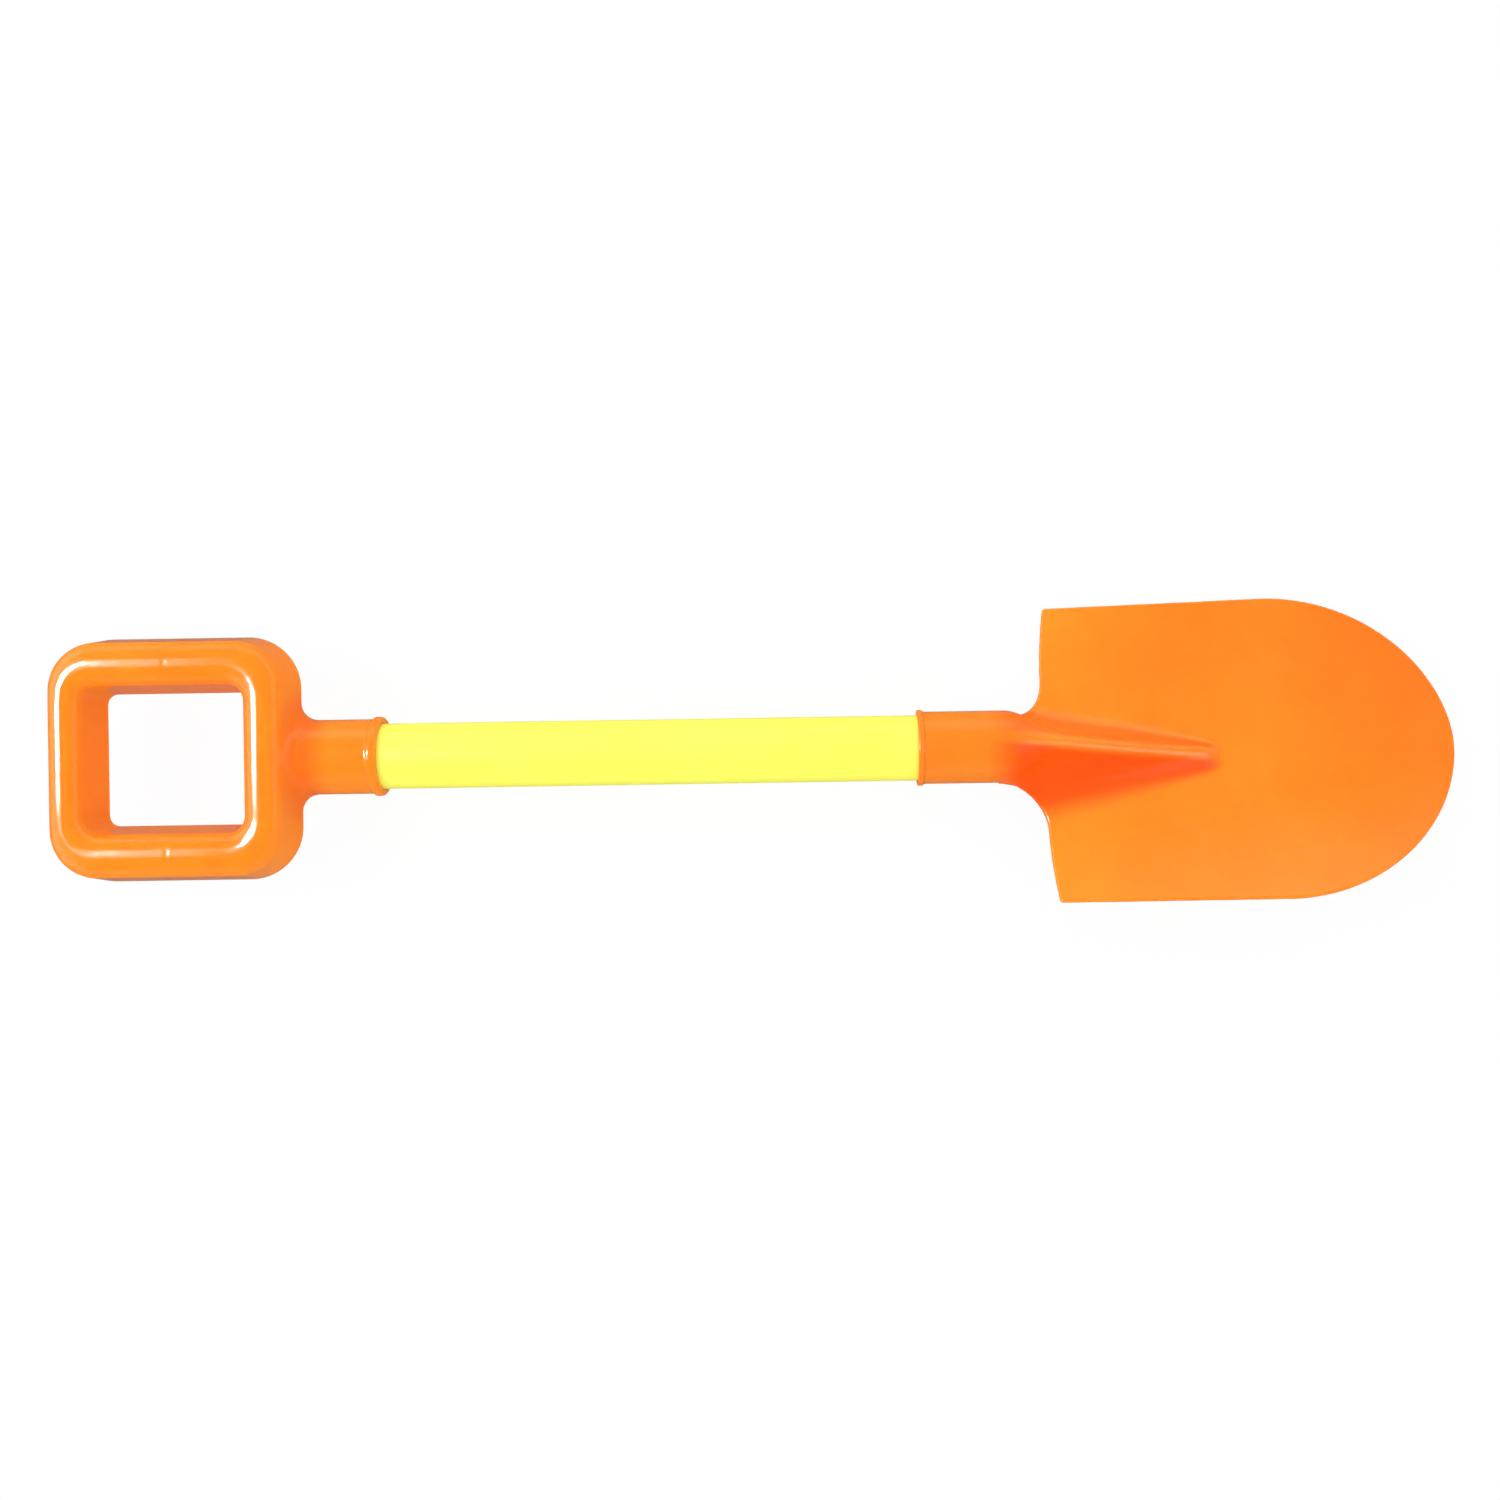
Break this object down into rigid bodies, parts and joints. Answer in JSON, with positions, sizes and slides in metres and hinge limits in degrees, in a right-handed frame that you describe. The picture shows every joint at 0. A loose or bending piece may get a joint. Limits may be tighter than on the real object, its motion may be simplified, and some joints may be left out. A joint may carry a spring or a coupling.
{
  "type": "sand shovel",
  "caption": "Child's sand shovel: a round-nosed dished blade on a straight tube, with a D-shaped grip that a small hand closes round",
  "frame": {"origin": "on the tube's axis, in the plane of the grip's open back, at the middle of the grip bar (on its cross rib)", "axes": "+X runs along the tube from the grip to the blade's tip; +Y runs across the grip; +Z points out of the front of the grip and of the blade's dished face, and -Z out of the grip's open back"},
  "size_m": [0.4244, 0.0932, 0.0398],
  "materials": {
    "grip_plastic": "moulded glossy orange polypropylene, slightly translucent",
    "tube_plastic": "extruded bright yellow plastic pipe, smooth satin gloss",
    "blade_plastic": "moulded glossy orange polypropylene, slightly translucent"
  },
  "bodies": {
    "shovel": {"grip": "grip_plastic", "shaft_tube": "tube_plastic", "blade": "blade_plastic"}
  },
  "joints": []
}
